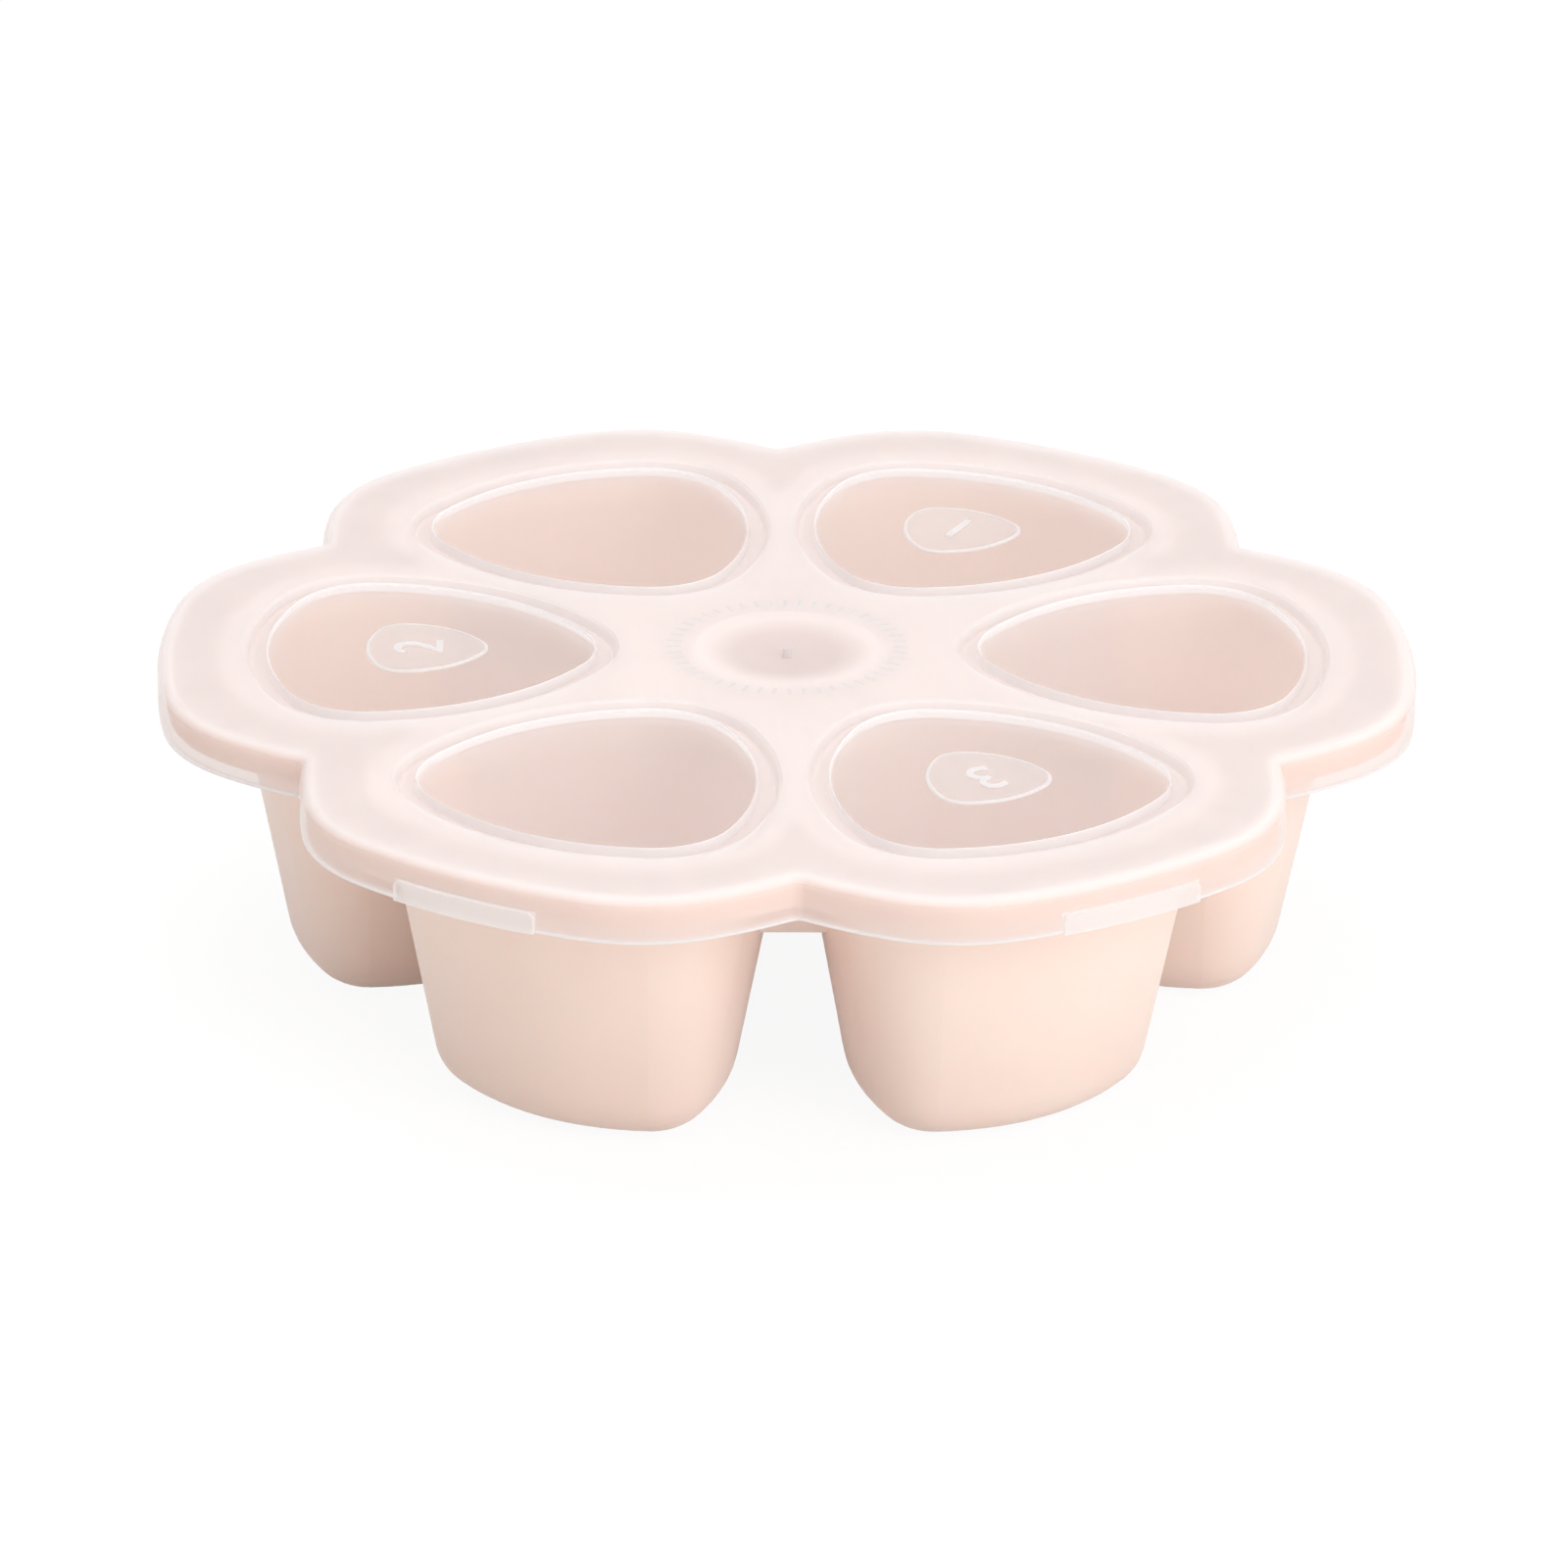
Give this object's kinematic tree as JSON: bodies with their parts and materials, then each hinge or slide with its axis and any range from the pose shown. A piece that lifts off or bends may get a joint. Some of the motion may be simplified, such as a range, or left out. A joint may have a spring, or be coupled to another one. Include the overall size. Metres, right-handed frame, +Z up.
{
  "type": "baby food freezer tray",
  "caption": "Flower-shaped soft silicone tray of drafted cups, each for one portion of baby food, with a thin translucent clip-on lid that has a raised window over each cup.",
  "frame": {"origin": "middle of the footprint, on the surface that the six cup feet stand on", "axes": "+Z up, through the middle of the tray and out of the lid; +X through the middle of one lobe, the widest direction; the two lobes with lift tabs are on the -Y side"},
  "size_m": [0.215, 0.2066, 0.056],
  "materials": {
    "silicone": "matte pale peach-pink food-grade silicone",
    "lid_plastic": "translucent milky soft plastic, satin"
  },
  "bodies": {
    "tray": {"silicone_tray": "silicone"},
    "lid": {"lid": "lid_plastic"}
  },
  "joints": [
    {"name": "lid_lift", "type": "slide", "parent": "tray", "child": "lid", "axis": [0, 0, 1], "range_m": [0, 0.06]}
  ]
}
